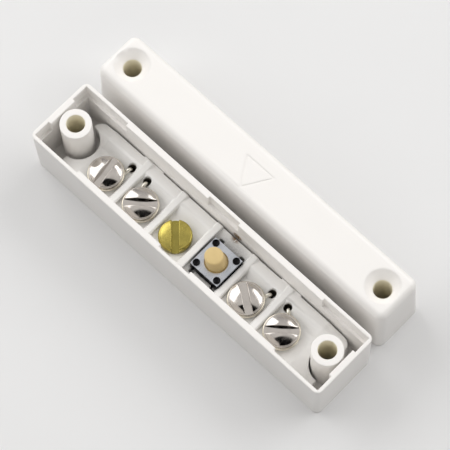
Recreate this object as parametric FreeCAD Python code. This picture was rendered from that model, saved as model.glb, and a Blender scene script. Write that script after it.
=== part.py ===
import FreeCAD, Part
import math
import os

# Surface mounted magnetic door contact, millimetres.
# The origin is the centre of the switch unit's underside. X runs along both units,
# +Y points to the magnet unit and Z is up.

Vec = FreeCAD.Vector
UP = Vec(0, 0, 1)

# Tray of the switch unit
case_length = 64.1
case_width = 13.07
case_height = 11.4
case_side_lean = 0.17
case_corner_radius = 1.1
rim_chamfer = 0.1
case_wall = 1.3
cavity_lean = 0.15
case_floor = 1.5
rim_wall = 0.65
rim_rebate_height = 2.7
side_pad_start = 3.35
side_pad_end = 21.85
end_pad_half_width = 2.75

# Screw posts of the tray
post_spacing = 56.0
post_diameter = 5.3
mounting_bore = 3.1

# Terminal carrier
carrier_length = 56.3
carrier_offset_x = 0.55
carrier_front_gap = 0.12
carrier_rear_gap = 0.26
seat_height = 5.3
seat_depth = 6.6
ramp_run = 1.5
crest_height = 6.25
crest_width = 0.5
rear_edge_height = 5.85
ridge_width = 1.5
ridge_height = 6.3
ridge_chamfer = 0.25
shelf_start = 23.9
shelf_drop = 1.0
post_cutout_clearance = 0.15
post_cutout_offset_x = 0.45
rear_corner_radius = 1.5
front_corner_radius = 0.5
key_rib_start = 13.3
key_rib_length = 4.3
wire_hole_diameter = 1.45
wire_hole_offset = 1.73
wire_hole_y = 2.25

# Clamp screws, washers and nuts
terminal_pitch = 7.9
terminal_offset_x = -0.2
screw_row_y = -1.55
screw_hole = 3.2
head_diameter = 5.7
head_height = 1.25
head_crown = 0.6
brass_head_diameter = 5.65
brass_head_height = 1.75
brass_head_crown = 0.35
head_flat_diameter = 2.4
slot_width = 1.2
slot_depth = 0.9
shank_diameter = 2.9
shank_end_height = 1.8
washer_diameter = 6.2
washer_thickness = 0.5
nut_width = 5.0
nut_height = 2.4
nut_bore = 3.0
nut_clearance = 0.1
nut_floor_gap = 0.15

# Lead wires
wire_diameter = 0.63
wire_seat_gap = 0.02
wire_exit_gap = 0.15
wire_corner_offset = 0.35
wire_corner_height = 6.05
wire_loop_radius = 1.95
wire_loop_angle = 240.0
wire_loop_steps = 8
wire_run_height = 2.0
wire_near_y = 2.2
wire_far_y = 3.6

# Tamper switch
tamper_size = 6.0
tamper_offset_x = 0.2
tamper_y = -0.35
tamper_well_floor = 3.5
tamper_well_clearance = 0.08
tamper_left_space = 0.55
tamper_height = 3.5
cover_thickness = 0.3
cover_hole = 3.9
peg_diameter = 1.1
peg_spacing = 4.55
peg_proud = 0.12
well_diameter = 4.6
well_depth = 1.3
plunger_diameter = 3.5
plunger_top_diameter = 3.2
plunger_rise = 2.5
plunger_chamfer = 0.2
plunger_flange_clearance = 0.1
plunger_flange_thickness = 0.5
plunger_stub_diameter = 1.6
dome_diameter = 4.2
dome_crown_diameter = 2.4
dome_rise = 0.5
dome_thickness = 0.08
leg_spacing = 4.5
leg_width = 0.7
leg_thickness = 0.25
leg_height = 4.0
leg_end_height = 1.8
leg_slot_clearance = 0.12
leg_opening = 0.8

# Reed switch
reed_diameter = 1.8
reed_length = 14.0
reed_wall = 0.3
reed_seal_length = 1.5
reed_x = -9.5
reed_y = 3.55
reed_floor_gap = 0.06
reed_end_gap = 0.3
reed_lead_diameter = 0.5
reed_lead_length = 1.8
blade_width = 1.1
blade_thickness = 0.2
blade_overlap = 1.2
blade_gap = 0.08
blade_beyond_glass = 0.3

# Channels under the carrier
channel_start_y = 1.8
channel_width = 2.75
reed_channel_height = 2.0
wire_channel_height = 1.2
channel_end_margin = 2.4

# Magnet unit
magnet_case_length = 64.0
magnet_case_width = 9.63
magnet_case_height = 12.4
magnet_side_lean = 0.35
magnet_corner_radius = 1.45
magnet_edge_radius = 1.2
unit_gap = 2.28
magnet_offset_x = -0.5
magnet_hole_end_distance = 4.15
countersink_diameter = 6.0
magnet_solid_end = 11.0
magnet_side_wall = 1.35
magnet_roof = 1.4
back_plate_end_distance = 8.5
back_plate_thickness = 1.2
back_plate_ledge = 0.45
back_plate_clearance = 0.05
support_length = 6.0
bar_end_clearance = 2.0
bar_thickness = 6.0
bar_clearance = 0.15
mark_groove_width = 0.3
mark_groove_depth = 0.25
mark_offset_x = -0.18
mark_tip_y = -3.3
mark_base_y = 1.44
mark_half_width = 2.95

# Values that follow from the sizes above
half_case_length = case_length / 2
half_case_width = case_width / 2
post_x = post_spacing / 2
inner_half_length = half_case_length - case_wall
inner_half_width = half_case_width - case_wall
carrier_front_y = -inner_half_width + carrier_front_gap
carrier_rear_y = inner_half_width - carrier_rear_gap
carrier_left_x = carrier_offset_x - carrier_length / 2
carrier_right_x = carrier_offset_x + carrier_length / 2
ramp_start_y = carrier_front_y + seat_depth
wire_centre_height = seat_height + wire_diameter / 2 + wire_seat_gap
washer_bottom = seat_height + wire_diameter + 2 * wire_seat_gap
washer_top = washer_bottom + washer_thickness
nut_bottom = case_floor + nut_floor_gap
nut_top = nut_bottom + nut_height
tamper_x = terminal_offset_x + terminal_pitch / 2 + tamper_offset_x
tamper_top = tamper_well_floor + tamper_height
tamper_body_top = tamper_top - cover_thickness
well_bottom = tamper_body_top - well_depth
reed_z = case_floor + reed_floor_gap + reed_diameter / 2
magnet_y = half_case_width - case_side_lean + unit_gap + magnet_case_width / 2
magnet_hole_x = magnet_case_length / 2 - magnet_hole_end_distance
cavity_length = magnet_case_length - 2 * magnet_solid_end
cavity_width = magnet_case_width - 2 * magnet_side_lean - 2 * magnet_side_wall
back_plate_length = magnet_case_length - 2 * back_plate_end_distance
bar_length = cavity_length - 2 * bar_end_clearance
bar_top = magnet_case_height - magnet_roof - bar_clearance


def box(x0, x1, y0, y1, z0, z1):
    return Part.makeBox(x1 - x0, y1 - y0, z1 - z0, Vec(x0, y0, z0))


def rod(diameter, z0, z1, x=0.0, y=0.0):
    return Part.makeCylinder(diameter / 2, z1 - z0, Vec(x, y, z0), UP)


def leaning_block(length, width, growth, height):
    """A block sized at the bottom, whose sides lean out by growth."""
    x = length / 2
    y = width / 2
    top_x = x + growth
    top_y = y + growth
    block = Part.makeWedge(-x, 0, -y, -top_y, -top_x, x, height, y, top_y, top_x)
    block.rotate(Vec(0, 0, 0), Vec(1, 0, 0), 90)
    return block


def moulded_block(length, width, growth, height, corner_radius):
    """A leaning block with rounded corners."""
    block = leaning_block(length, width, growth, height)
    corners = [edge for edge in block.Edges if edge.BoundBox.ZLength > height / 2]
    return block.makeFillet(corner_radius, corners)


def edges_at_height(shape, height):
    """The edges that lie wholly in one level plane."""
    tolerance = 1e-6
    found = []
    for edge in shape.Edges:
        bounds = edge.BoundBox
        if abs(bounds.ZMin - height) < tolerance and abs(bounds.ZMax - height) < tolerance:
            found.append(edge)
    return found


def profile_along_x(points, x0, x1):
    """Extrudes a polygon of (y, z) points from x0 to x1."""
    ring = [Vec(x0, y, z) for y, z in points]
    face = Part.Face(Part.makePolygon(ring + ring[:1]))
    return face.extrude(Vec(x1 - x0, 0, 0))


def turned(profile, x, y):
    """Revolves a closed profile of (radius, z) points about Z."""
    ring = [Vec(radius, 0, z) for radius, z in profile]
    face = Part.Face(Part.makePolygon(ring + ring[:1]))
    solid = face.revolve(Vec(0, 0, 0), UP, 360)
    solid.translate(Vec(x, y, 0))
    return solid


def swept_wire(points, diameter):
    """A wire along straight runs that meet in mitred corners.

    Twelve flats stand in for its round section, which keeps its many bends light.
    """
    flats = 12
    direction = points[1] - points[0]
    circle = Part.Circle(points[0], direction, diameter / 2)
    corners = [circle.value(2 * math.pi * index / flats) for index in range(flats)]
    section = Part.makePolygon(corners + corners[:1])
    mitred = 1
    return Part.makePolygon(points).makePipeShell([section], True, False, mitred)


def make_switch_base():
    outer = moulded_block(
        case_length - 2 * case_side_lean,
        case_width - 2 * case_side_lean,
        case_side_lean,
        case_height,
        case_corner_radius,
    )
    outer = outer.makeChamfer(rim_chamfer, edges_at_height(outer, case_height))
    inner = leaning_block(
        2 * inner_half_length, 2 * inner_half_width, cavity_lean, case_height - case_floor
    )
    inner.translate(Vec(0, 0, case_floor))
    tray = outer.cut([inner, make_rim_rebate()])
    posts = [rod(post_diameter, case_floor, case_height, x) for x in (-post_x, post_x)]
    tray = tray.fuse(posts)
    bores = [rod(mounting_bore, 0, case_height, x) for x in (-post_x, post_x)]
    return tray.cut(bores).removeSplitter()


def make_rim_rebate():
    """The step that the cover drops into, broken by pads that stay full thickness."""
    rebate_x = half_case_length - rim_wall
    rebate_y = half_case_width - rim_wall
    bottom = case_height - rim_rebate_height
    rebate = box(-rebate_x, rebate_x, -rebate_y, rebate_y, bottom, case_height)
    side_pads = []
    for side in (-1, 1):
        x_ends = sorted((side * side_pad_start, side * side_pad_end))
        for wall in (-1, 1):
            y_ends = sorted((0, wall * rebate_y))
            side_pads.append(box(*x_ends, *y_ends, bottom, case_height))
    end_pads = []
    for side in (-1, 1):
        x_ends = sorted((0, side * rebate_x))
        y_ends = (-end_pad_half_width, end_pad_half_width)
        end_pads.append(box(*x_ends, *y_ends, bottom, case_height))
    return rebate.cut(side_pads + end_pads)


def screw_positions():
    """X of the five clamp screws; the sixth place holds the tamper switch."""
    places = [index + 0.5 for index in range(-3, 3) if index != 0]
    return [terminal_offset_x + place * terminal_pitch for place in places]


def wire_hole_positions():
    """X of the two pairs of holes, either side of the second ridge from the middle."""
    centres = [terminal_offset_x + side * 2 * terminal_pitch for side in (-1, 1)]
    offsets = (-wire_hole_offset, wire_hole_offset)
    return [centre + offset for centre in centres for offset in offsets]


def carrier_profile(drop=0.0):
    """Cross-section of the carrier as (y, z) points: seat, ramp, crest and rear edge."""
    ramp_end_y = ramp_start_y + ramp_run
    return [
        (carrier_front_y, case_floor),
        (carrier_front_y, seat_height - drop),
        (ramp_start_y, seat_height - drop),
        (ramp_end_y, crest_height - drop),
        (ramp_end_y + crest_width, crest_height - drop),
        (carrier_rear_y, rear_edge_height - drop),
        (carrier_rear_y, case_floor),
    ]


def make_end_shelf(fold_x, end_x):
    """The carrier's end, whose top slopes down from the fold to the end."""
    sections = []
    for x, drop in ((fold_x, 0.0), (end_x, shelf_drop)):
        ring = [Vec(x, y, z) for y, z in carrier_profile(drop)]
        sections.append(Part.makePolygon(ring + ring[:1]))
    return Part.makeLoft(sections, True, True)


def make_ridges():
    """The five barriers between the terminals."""
    ridges = []
    for index in range(-2, 3):
        x = terminal_offset_x + index * terminal_pitch
        half = ridge_width / 2
        ridge = box(
            x - half, x + half, carrier_front_y, carrier_rear_y, case_floor, ridge_height
        )
        top_edges = [
            edge
            for edge in edges_at_height(ridge, ridge_height)
            if edge.BoundBox.YLength > half
        ]
        ridges.append(ridge.makeChamfer(ridge_chamfer, top_edges))
    return ridges


def make_carrier_outline():
    """Plan of the carrier: rounded ends with a round bite for each screw post."""
    tall = case_height
    plan = box(
        carrier_left_x, carrier_right_x, carrier_front_y, carrier_rear_y, case_floor, tall
    )
    for y, radius in ((carrier_rear_y, rear_corner_radius), (carrier_front_y, front_corner_radius)):
        corners = [
            edge
            for edge in plan.Edges
            if edge.BoundBox.ZLength > 1 and abs(edge.BoundBox.YMin - y) < 1e-6
            and abs(edge.BoundBox.YMax - y) < 1e-6
        ]
        plan = plan.makeFillet(radius, corners)
    bite = post_diameter + 2 * (post_cutout_offset_x + post_cutout_clearance)
    bites = [
        rod(bite, case_floor, tall, side * post_x + post_cutout_offset_x) for side in (-1, 1)
    ]
    return plan.cut(bites)


def make_tamper_pocket():
    """The flat round the tamper switch, which rises gently to the rear edge."""
    half = tamper_size / 2
    beyond = case_wall
    points = [
        (carrier_front_y - beyond, seat_height),
        (tamper_y + half + tamper_well_clearance, seat_height),
        (carrier_rear_y, rear_edge_height),
        (carrier_rear_y + beyond, rear_edge_height),
        (carrier_rear_y + beyond, case_height),
        (carrier_front_y - beyond, case_height),
    ]
    return profile_along_x(
        points, tamper_x - half - tamper_left_space, tamper_x + half + tamper_well_clearance
    )


def make_tamper_well():
    """The close square well that holds the tamper switch."""
    half = tamper_size / 2 + tamper_well_clearance
    return box(
        tamper_x - half,
        tamper_x + half,
        tamper_y - half,
        tamper_y + half,
        tamper_well_floor,
        case_height,
    )


def leg_rows():
    """Y of the outer faces of the legs that stand before and behind the tamper switch."""
    half = tamper_size / 2
    return (tamper_y - half - leg_thickness, tamper_y + half)


def make_leg_slots():
    """Openings for the four legs, which reach out from under the tamper switch."""
    slots = []
    inner = tamper_size / 2 - leg_slot_clearance
    outer = tamper_size / 2 + leg_opening
    half = leg_width / 2 + leg_slot_clearance
    for x in (tamper_x - leg_spacing / 2, tamper_x + leg_spacing / 2):
        for side in (-1, 1):
            y_ends = sorted((tamper_y + side * inner, tamper_y + side * outer))
            slots.append(box(x - half, x + half, *y_ends, case_floor, case_height))
    return slots


def make_channels():
    """Grooves in the underside for the reed switch and for the wires."""
    y_ends = (channel_start_y, channel_start_y + channel_width)
    reach = wire_hole_positions()[-1] + channel_end_margin
    inner_end = reed_x + reed_length / 2 + reed_lead_length + reed_end_gap
    reed_top = case_floor + reed_channel_height
    wire_top = case_floor + wire_channel_height
    reed_channel = box(-reach, inner_end, *y_ends, case_floor, reed_top)
    wire_start = tamper_x - leg_spacing / 2 - leg_width
    wire_channel = box(wire_start, reach, *y_ends, case_floor, wire_top)
    return [reed_channel, wire_channel]


def make_terminal_carrier():
    body = profile_along_x(carrier_profile(), -shelf_start, shelf_start)
    shelves = [
        make_end_shelf(-shelf_start, carrier_left_x),
        make_end_shelf(shelf_start, carrier_right_x),
    ]
    body = body.fuse(shelves + make_ridges())
    body = body.common(make_carrier_outline())
    key_ribs = []
    for side in (-1, 1):
        x_ends = sorted((side * key_rib_start, side * (key_rib_start + key_rib_length)))
        y_ends = (carrier_rear_y - rim_wall, carrier_rear_y + carrier_rear_gap)
        key_ribs.append(box(*x_ends, *y_ends, case_floor, rear_edge_height))
    body = body.fuse(key_ribs)
    cuts = [make_tamper_pocket(), make_tamper_well()] + make_leg_slots() + make_channels()
    pocket = nut_width / 2 + nut_clearance
    for x in screw_positions():
        cuts.append(rod(screw_hole, case_floor, ridge_height, x, screw_row_y))
        cuts.append(
            box(
                x - pocket,
                x + pocket,
                screw_row_y - pocket,
                screw_row_y + pocket,
                case_floor,
                nut_top,
            )
        )
    for x in wire_hole_positions():
        cuts.append(rod(wire_hole_diameter, case_floor, ridge_height, x, wire_hole_y))
    return body.cut(cuts).removeSplitter()


def make_clamp_screw(x, slot_angle, underside, diameter, height, crown):
    """A screw whose straight-sided head rises to a low crown with a slot across it."""
    head = diameter / 2
    shank = shank_diameter / 2
    top = underside + height
    profile = [
        (0, shank_end_height),
        (shank, shank_end_height),
        (shank, underside),
        (head, underside),
        (head, top - crown),
        (head_flat_diameter / 2, top),
        (0, top),
    ]
    screw = turned(profile, x, screw_row_y)
    slot = box(-head, head, -slot_width / 2, slot_width / 2, top - slot_depth, top)
    slot.rotate(Vec(0, 0, 0), UP, slot_angle)
    slot.translate(Vec(x, screw_row_y, 0))
    return screw.cut(slot)


def make_clamp_washer(x):
    outer = washer_diameter / 2
    inner = screw_hole / 2
    profile = [
        (inner, washer_bottom),
        (outer, washer_bottom),
        (outer, washer_top),
        (inner, washer_top),
    ]
    return turned(profile, x, screw_row_y)


def make_terminal_nut(x):
    half = nut_width / 2
    nut = box(
        x - half, x + half, screw_row_y - half, screw_row_y + half, nut_bottom, nut_top
    )
    return nut.cut(rod(nut_bore, nut_bottom, nut_top, x, screw_row_y))


def make_lead_wire(screw_x, side, exit_angle, hole_x, run_points):
    """A wire looped round a screw, led to its hole, down it and along the channel.

    side is +1 where the wire leaves on the right of the screw, seen from the front.
    exit_angle is the bearing at which it comes out from under the washer. The wire
    bends down at the near side of its hole.
    """
    distance = washer_diameter / 2 + wire_exit_gap
    bearing = math.radians(exit_angle)
    edge = Vec(math.cos(bearing), math.sin(bearing), 0) * distance
    tangent = bearing - side * math.acos(wire_loop_radius / distance)
    sweep = math.radians(wire_loop_angle)
    centre = Vec(screw_x, screw_row_y, wire_centre_height)

    def on_loop(angle):
        offset = Vec(math.cos(angle), math.sin(angle), 0)
        return centre + offset * wire_loop_radius

    turns = [1 - step / wire_loop_steps for step in range(wire_loop_steps + 1)]
    loop = [on_loop(tangent - side * sweep * turn) for turn in turns]
    leaving = centre + edge
    hole = Vec(hole_x, wire_hole_y, leaving.z)
    back = (leaving - hole).normalize() * wire_corner_offset
    corner = Vec(hole_x + back.x, wire_hole_y + back.y, wire_corner_height)
    return swept_wire(loop + [leaving, corner] + run_points, wire_diameter)


def reed_wire_runs():
    """Routes under the carrier, from the bottom of each left hole to the reed switch."""
    outer_hole, inner_hole = wire_hole_positions()[:2]
    lead_reach = reed_length / 2 + reed_lead_length / 2
    touch_y = reed_y - reed_lead_diameter / 2 - wire_diameter / 2 - wire_seat_gap
    outer_run = [
        Vec(outer_hole, wire_hole_y, reed_z),
        Vec(outer_hole, touch_y, reed_z),
    ]
    inner_run = [
        Vec(inner_hole, wire_hole_y, wire_run_height),
        Vec(reed_x + lead_reach, wire_near_y, wire_run_height),
        Vec(reed_x + lead_reach, touch_y, reed_z),
    ]
    return outer_run, inner_run


def tamper_wire_runs():
    """Routes under the carrier, from each right hole to a rear leg of the tamper switch."""
    inner_hole, outer_hole = wire_hole_positions()[2:]
    right_leg = tamper_x + leg_spacing / 2
    left_leg = tamper_x - leg_spacing / 2
    inner_run = [
        Vec(inner_hole, wire_hole_y, wire_run_height),
        Vec(right_leg, wire_near_y, wire_run_height),
    ]
    outer_run = [
        Vec(outer_hole, wire_hole_y, wire_run_height),
        Vec(outer_hole - wire_hole_diameter, wire_far_y, wire_run_height),
        Vec(left_leg, wire_far_y, wire_run_height),
    ]
    return inner_run, outer_run


def make_reed_blade(side):
    """One reed: a round lead that flattens to a blade reaching just past the middle."""
    glass_end = reed_length / 2
    blade_end = glass_end + blade_beyond_glass
    lead_start = blade_end - blade_thickness
    lead_end = glass_end + reed_lead_length
    lead = Part.makeCylinder(
        reed_lead_diameter / 2, lead_end - lead_start, Vec(lead_start, 0, 0), Vec(1, 0, 0)
    )
    level = blade_gap / 2 if side > 0 else -blade_gap / 2 - blade_thickness
    half_width = blade_width / 2
    blade = box(
        -blade_overlap / 2,
        blade_end,
        -half_width,
        half_width,
        level,
        level + blade_thickness,
    )
    reed = lead.fuse(blade)
    if side < 0:
        reed.rotate(Vec(0, 0, 0), UP, 180)
    reed.translate(Vec(reed_x, reed_y, reed_z))
    return reed.removeSplitter()


def make_reed_capsule(blades):
    outer = reed_diameter / 2
    inner = outer - reed_wall
    half = reed_length / 2
    glass = Part.makeCylinder(outer, reed_length, Vec(-half, 0, 0), Vec(1, 0, 0))
    length = reed_length - 2 * reed_seal_length
    space = Part.makeCylinder(inner, length, Vec(-length / 2, 0, 0), Vec(1, 0, 0))
    glass = glass.cut(space)
    glass.translate(Vec(reed_x, reed_y, reed_z))
    return glass.cut(blades)


def peg_positions():
    half = peg_spacing / 2
    return [(tamper_x + i * half, tamper_y + j * half) for i in (-1, 1) for j in (-1, 1)]


def make_tamper_terminal(side):
    """A flat strip that crosses the tamper switch and bends down as two legs."""
    x = tamper_x + side * leg_spacing / 2
    half = leg_width / 2
    front, rear = leg_rows()
    strip = box(
        x - half, x + half, front, rear + leg_thickness, leg_height, leg_height + leg_thickness
    )
    legs = [
        box(x - half, x + half, y, y + leg_thickness, leg_end_height, leg_height)
        for y in (front, rear)
    ]
    return strip.fuse(legs).removeSplitter()


def make_tamper_body(terminals):
    half = tamper_size / 2
    body = box(
        tamper_x - half,
        tamper_x + half,
        tamper_y - half,
        tamper_y + half,
        tamper_well_floor,
        tamper_body_top,
    )
    pegs = [
        rod(peg_diameter, tamper_body_top, tamper_top + peg_proud, x, y)
        for x, y in peg_positions()
    ]
    well = rod(well_diameter, well_bottom, tamper_body_top, tamper_x, tamper_y)
    return body.fuse(pegs).cut([well] + terminals).removeSplitter()


def make_tamper_cover_plate():
    half = tamper_size / 2
    plate = box(
        tamper_x - half,
        tamper_x + half,
        tamper_y - half,
        tamper_y + half,
        tamper_body_top,
        tamper_top,
    )
    holes = [
        rod(peg_diameter, tamper_body_top, tamper_top, x, y) for x, y in peg_positions()
    ]
    holes.append(rod(cover_hole, tamper_body_top, tamper_top, tamper_x, tamper_y))
    return plate.cut(holes)


def make_tamper_plunger():
    """The push button: a tapered post on a flange that the cover plate holds in."""
    top = tamper_top + plunger_rise
    flange_top = tamper_body_top
    flange_bottom = flange_top - plunger_flange_thickness
    stub_bottom = well_bottom + dome_rise
    flange = well_diameter / 2 - plunger_flange_clearance
    stub = plunger_stub_diameter / 2
    foot = plunger_diameter / 2
    tip = plunger_top_diameter / 2
    profile = [
        (0, stub_bottom),
        (stub, stub_bottom),
        (stub, flange_bottom),
        (flange, flange_bottom),
        (flange, flange_top),
        (foot, flange_top),
        (tip, top - plunger_chamfer),
        (tip - plunger_chamfer, top),
        (0, top),
    ]
    return turned(profile, tamper_x, tamper_y)


def make_tamper_dome():
    """The thin sprung disc under the plunger."""
    foot = dome_diameter / 2
    crown = dome_crown_diameter / 2
    top = well_bottom + dome_rise
    profile = [
        (foot - dome_thickness, well_bottom),
        (foot, well_bottom),
        (crown, top),
        (0, top),
        (0, top - dome_thickness),
    ]
    return turned(profile, tamper_x, tamper_y)


def make_magnet_housing():
    outer = moulded_block(
        magnet_case_length,
        magnet_case_width,
        -magnet_side_lean,
        magnet_case_height,
        magnet_corner_radius,
    )
    outer = outer.makeFillet(magnet_edge_radius, edges_at_height(outer, magnet_case_height))
    half_cavity = cavity_length / 2
    half_cavity_width = cavity_width / 2
    cavity = box(
        -half_cavity,
        half_cavity,
        -half_cavity_width,
        half_cavity_width,
        0,
        magnet_case_height - magnet_roof,
    )
    cuts = [cavity, make_back_plate_blank(0.0)]
    sink = countersink_diameter / 2
    bore = mounting_bore / 2
    for x in (-magnet_hole_x, magnet_hole_x):
        cuts.append(rod(mounting_bore, 0, magnet_case_height, x))
        cuts.append(
            Part.makeCone(
                bore,
                sink,
                sink - bore,
                Vec(x, 0, magnet_case_height - sink + bore),
                UP,
            )
        )
    cuts.append(make_mark_groove())
    housing = outer.cut(cuts).removeSplitter()
    housing.translate(Vec(magnet_offset_x, magnet_y, 0))
    return housing


def make_back_plate_blank(clearance):
    half_length = back_plate_length / 2 - clearance
    half_width = cavity_width / 2 + back_plate_ledge - clearance
    return box(
        -half_length, half_length, -half_width, half_width, 0, back_plate_thickness
    )


def make_mark_groove():
    """The engraved triangle on the magnet unit, which points to the switch unit."""
    corners = [
        Vec(mark_offset_x, mark_tip_y, 0),
        Vec(mark_offset_x + mark_half_width, mark_base_y, 0),
        Vec(mark_offset_x - mark_half_width, mark_base_y, 0),
    ]
    face = Part.Face(Part.makePolygon(corners + corners[:1]))
    wide = face.makeOffset2D(mark_groove_width / 2)
    narrow = face.makeOffset2D(-mark_groove_width / 2)
    groove = wide.cut(narrow).extrude(Vec(0, 0, mark_groove_depth))
    groove.translate(Vec(0, 0, magnet_case_height - mark_groove_depth))
    return groove


def make_magnet_back_plate():
    """The cover under the magnet unit, with two blocks that press the magnet up."""
    half_width = cavity_width / 2 - bar_clearance
    half_support = support_length / 2
    supports = []
    for x in (-bar_length / 3, bar_length / 3):
        supports.append(
            box(
                x - half_support,
                x + half_support,
                -half_width,
                half_width,
                0,
                bar_top - bar_thickness,
            )
        )
    plate = make_back_plate_blank(back_plate_clearance).fuse(supports).removeSplitter()
    plate.translate(Vec(magnet_offset_x, magnet_y, 0))
    return plate


def make_bar_magnet():
    half_length = bar_length / 2
    half_width = cavity_width / 2 - bar_clearance
    bar = box(
        -half_length, half_length, -half_width, half_width, bar_top - bar_thickness, bar_top
    )
    bar.translate(Vec(magnet_offset_x, magnet_y, 0))
    return bar


def build_parts():
    parts = {}
    parts["switch_base"] = make_switch_base()
    parts["terminal_carrier"] = make_terminal_carrier()

    screws = screw_positions()
    slot_angles = (98.8, 40.0, 134.0, 145.0, 40.0)
    wired_screws = (True, True, False, True, True)
    for number, (x, angle, wired) in enumerate(zip(screws, slot_angles, wired_screws), start=1):
        parts[f"terminal_nut_{number}"] = make_terminal_nut(x)
        if wired:
            parts[f"clamp_washer_{number}"] = make_clamp_washer(x)
            head = (washer_top, head_diameter, head_height, head_crown)
        else:
            head = (seat_height, brass_head_diameter, brass_head_height, brass_head_crown)
        parts[f"terminal_screw_{number}"] = make_clamp_screw(x, angle, *head)

    holes = wire_hole_positions()
    runs = reed_wire_runs() + tamper_wire_runs()
    leads = [
        ("reed_wire_left", screws[0], 1, 52.0, holes[0], runs[0]),
        ("reed_wire_right", screws[1], -1, 130.0, holes[1], runs[1]),
        ("tamper_wire_right", screws[3], 1, 57.0, holes[2], runs[2]),
        ("tamper_wire_left", screws[4], -1, 113.0, holes[3], runs[3]),
    ]
    for name, screw_x, side, exit_angle, hole_x, run in leads:
        parts[name] = make_lead_wire(screw_x, side, exit_angle, hole_x, run)

    blades = {"reed_blade_left": make_reed_blade(-1), "reed_blade_right": make_reed_blade(1)}
    parts.update(blades)
    parts["reed_capsule"] = make_reed_capsule(list(blades.values()))

    terminals = {
        "tamper_terminal_left": make_tamper_terminal(-1),
        "tamper_terminal_right": make_tamper_terminal(1),
    }
    parts.update(terminals)
    parts["tamper_body"] = make_tamper_body(list(terminals.values()))
    parts["tamper_cover_plate"] = make_tamper_cover_plate()
    parts["tamper_plunger"] = make_tamper_plunger()
    parts["tamper_dome"] = make_tamper_dome()

    parts["magnet_housing"] = make_magnet_housing()
    parts["magnet_back_plate"] = make_magnet_back_plate()
    parts["bar_magnet"] = make_bar_magnet()
    return parts


def write_parts():
    os.makedirs("parts", exist_ok=True)
    for name, shape in build_parts().items():
        shape.exportStep(os.path.join("parts", f"{name}.step"))


write_parts()
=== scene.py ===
"""Looks of the magnetic door contact: mouldings, screws, lead wires, tamper switch and stage."""

import math

import bmesh
import bpy
from bpy.props import FloatProperty, FloatVectorProperty, PointerProperty
from bpy.types import Operator, Panel, PropertyGroup
from mathutils import Euler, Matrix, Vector


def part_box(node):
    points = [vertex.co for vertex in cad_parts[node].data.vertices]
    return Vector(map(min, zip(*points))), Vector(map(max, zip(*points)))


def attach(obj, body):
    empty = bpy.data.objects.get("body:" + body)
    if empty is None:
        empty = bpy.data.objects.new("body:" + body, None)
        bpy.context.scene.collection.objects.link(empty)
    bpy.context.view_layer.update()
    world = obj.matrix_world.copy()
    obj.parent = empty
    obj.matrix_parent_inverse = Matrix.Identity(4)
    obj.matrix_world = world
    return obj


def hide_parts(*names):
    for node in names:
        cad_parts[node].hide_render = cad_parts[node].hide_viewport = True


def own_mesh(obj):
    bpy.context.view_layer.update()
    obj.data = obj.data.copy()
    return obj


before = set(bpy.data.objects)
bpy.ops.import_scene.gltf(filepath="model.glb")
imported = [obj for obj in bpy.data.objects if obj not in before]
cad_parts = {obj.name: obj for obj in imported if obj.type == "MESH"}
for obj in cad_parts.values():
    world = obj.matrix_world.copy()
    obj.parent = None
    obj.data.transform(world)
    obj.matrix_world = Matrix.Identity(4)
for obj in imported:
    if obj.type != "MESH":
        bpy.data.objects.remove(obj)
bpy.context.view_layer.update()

bl_info = {
    "name": "Magnetic Door Contact",
    "version": (1, 0, 0),
    "blender": (4, 5, 0),
    "location": "3D View > Sidebar > Door Contact",
    "description": "Finishes the pieces of a surface mounted magnetic door contact",
    "category": "Object",
}

MM = 0.001

# The bodies that pieces ride on
FIXED = "units"
BUTTON = "button"

# Clamp screws: names, and the bearing of each slot in degrees
PLATED_SCREWS = ("terminal_screw_1", "terminal_screw_2", "terminal_screw_4", "terminal_screw_5")
BRASS_SCREW = "terminal_screw_3"
SLOT_TURNS = {
    "terminal_screw_1": 98.8,
    "terminal_screw_2": 40.0,
    "terminal_screw_3": 134.0,
    "terminal_screw_4": 145.0,
    "terminal_screw_5": 40.0,
}
PLATED_HEIGHT = 1.25 * MM
BRASS_HEIGHT = 1.75 * MM
HEAD_FOOT = 0.1 * MM
BRASS_EDGE = 0.38 * MM
SLOT_EDGE = 0.09 * MM
SHANK_RADIUS = 1.45 * MM
SHANK_LENGTH = 4.0 * MM
SHANK_CHAMFER = 0.15 * MM
HEAD_STEPS = 40
SLOT_EDGE_STEPS = 5
MOUTH_STEPS = 7
TURNED_STEPS = 72

# Washers: names, and each one's lift in mm and lean in degrees
WASHERS = ("clamp_washer_1", "clamp_washer_2", "clamp_washer_4", "clamp_washer_5")
WASHER_HOLE_RADIUS = 1.6 * MM
WASHER_LEANS = {
    "clamp_washer_1": (0.02, (0.6, -0.4, 0.0)),
    "clamp_washer_2": (0.01, (0.0, 0.5, 0.0)),
    "clamp_washer_4": (0.02, (0.5, 0.4, 0.0)),
    "clamp_washer_5": (0.14, (2.6, 1.4, 0.0)),
}

# Lead wires: names, their holes and their way to the reed and tamper switches, in mm
LEAD_WIRES = ("reed_wire_left", "reed_wire_right", "tamper_wire_left", "tamper_wire_right")
WIRE_HOLES_X = (-17.73, -14.27, 13.87, 17.33)
WIRE_HOLES_Y = 2.25
WIRE_HOLE_RADIUS = 0.765
WIRE_SIDES = 18
BEND_STEPS = 6
LOOP_HEIGHT = 5.635
LOOP_ANGLE = 240
LOOP_STEPS = 20
LEAVING_RADIUS = 3.25
CORNER_OFFSET = 0.35
CORNER_HEIGHT = 6.05
RUN_HEIGHT = 2.0
NEAR_RUN_Y = 2.2
FAR_RUN_Y = 3.6
FAR_RUN_START = 15.88
REED_RIGHT_END = -1.6
REED_Y = 2.965
REED_HEIGHT = 2.46
TAMPER_LEGS_X = (1.7, 6.2)

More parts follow.
